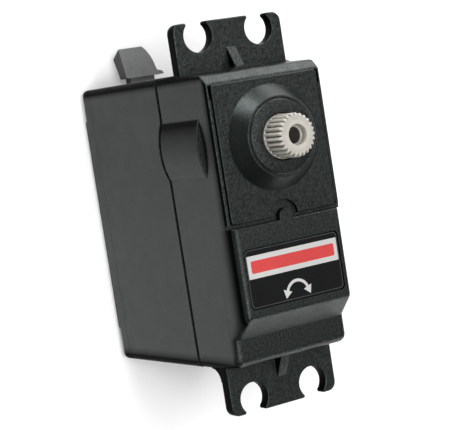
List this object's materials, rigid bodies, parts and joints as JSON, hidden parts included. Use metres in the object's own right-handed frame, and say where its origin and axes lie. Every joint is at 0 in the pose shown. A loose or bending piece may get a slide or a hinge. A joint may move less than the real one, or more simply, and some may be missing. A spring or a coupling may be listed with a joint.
{
  "type": "servo motor",
  "caption": "Rectangular geared servo motor with slotted mounting ears, a splined output shaft on a round boss, and a strain relief for its lead.",
  "frame": {"origin": "middle of the raised rest panel under the bottom cover", "axes": "+Z along the output shaft, out of the case; +X along the case, from the output end to the label end; +Y across it"},
  "size_m": [0.0544, 0.0206, 0.0417],
  "materials": {
    "case_plastic": "near-black moulded plastic, satin, fine grain on the front",
    "label_film": "glossy black film with a white band",
    "boot_rubber": "matte dark grey rubber",
    "screw_steel": "zinc-plated steel",
    "bearing_brass": "machined",
    "gear_nylon": "off-white moulded nylon, slightly translucent",
    "motor_steel": "nickel-plated drawn steel",
    "black_moulding": "black moulded resin",
    "magnet_ferrite": "sintered ferrite",
    "shaft_steel": "ground steel",
    "rotor_steel": "stacked laminations",
    "winding_copper": null,
    "board_green": "green solder mask",
    "wire_red": "red insulation"
  },
  "bodies": {
    "case": {"bottom_cover": "case_plastic", "lower_case": "case_plastic", "upper_case": "case_plastic", "label_plate": "label_film", "cable_boot": "boot_rubber", "case_screw_1": "screw_steel", "case_screw_2": "screw_steel", "case_screw_3": "screw_steel", "case_screw_4": "screw_steel", "output_bushing": "bearing_brass", "gear_pin": "shaft_steel", "motor_can": "motor_steel", "motor_end_cap": "black_moulding", "motor_bushing": "bearing_brass", "motor_magnet_a": "magnet_ferrite", "motor_magnet_b": "magnet_ferrite", "motor_brush_a": "winding_copper", "motor_brush_b": "winding_copper", "motor_terminal_a": "bearing_brass", "motor_terminal_b": "bearing_brass", "motor_screw_a": "screw_steel", "motor_screw_b": "screw_steel", "potentiometer_body": "board_green", "potentiometer_wire_1": "wire_red", "potentiometer_wire_2": "wire_red", "potentiometer_wire_3": "wire_red", "circuit_board": "board_green", "control_chip": "black_moulding", "driver_chip_a": "black_moulding", "driver_chip_b": "black_moulding", "capacitor": "motor_steel"},
    "rotor": {"rotor_shaft": "shaft_steel", "rotor_core": "rotor_steel", "rotor_coil_1": "winding_copper", "rotor_coil_2": "winding_copper", "rotor_coil_3": "winding_copper", "commutator": "winding_copper", "motor_pinion": "bearing_brass"},
    "first_reduction": {"first_gear": "gear_nylon"},
    "second_reduction": {"second_gear": "gear_nylon"},
    "third_reduction": {"third_gear": "gear_nylon"},
    "output": {"output_gear": "gear_nylon", "potentiometer_shaft": "shaft_steel"}
  },
  "joints": [
    {"name": "rotor_spin", "type": "hinge", "parent": "case", "child": "rotor", "pos_m": [0.0099, 0, 0.02], "axis": [0, 0, 1], "range_deg": [-10910.2, 10910.2]},
    {"name": "first_gear_spin", "type": "hinge", "parent": "case", "child": "first_reduction", "pos_m": [0.0006, 0, 0.025], "axis": [0, 0, 1], "range_deg": [-2618.5, 2618.5]},
    {"name": "second_gear_spin", "type": "hinge", "parent": "case", "child": "second_reduction", "pos_m": [-0.0102, 0, 0.027], "axis": [0, 0, 1], "range_deg": [-748.2, 748.2]},
    {"name": "third_gear_spin", "type": "hinge", "parent": "case", "child": "third_reduction", "pos_m": [0.0006, 0, 0.029], "axis": [0, 0, 1], "range_deg": [-315.1, 315.1]},
    {"name": "output_turn", "type": "hinge", "parent": "case", "child": "output", "pos_m": [-0.0102, 0, 0.035], "axis": [0, 0, 1], "range_deg": [-90.01, 90.01]}
  ],
  "couplings": [
    {"joint": "first_gear_spin", "follows": "rotor_spin", "ratio": -0.24},
    {"joint": "second_gear_spin", "follows": "rotor_spin", "ratio": 0.068571},
    {"joint": "third_gear_spin", "follows": "rotor_spin", "ratio": -0.028872},
    {"joint": "output_turn", "follows": "rotor_spin", "ratio": 0.0082492}
  ]
}
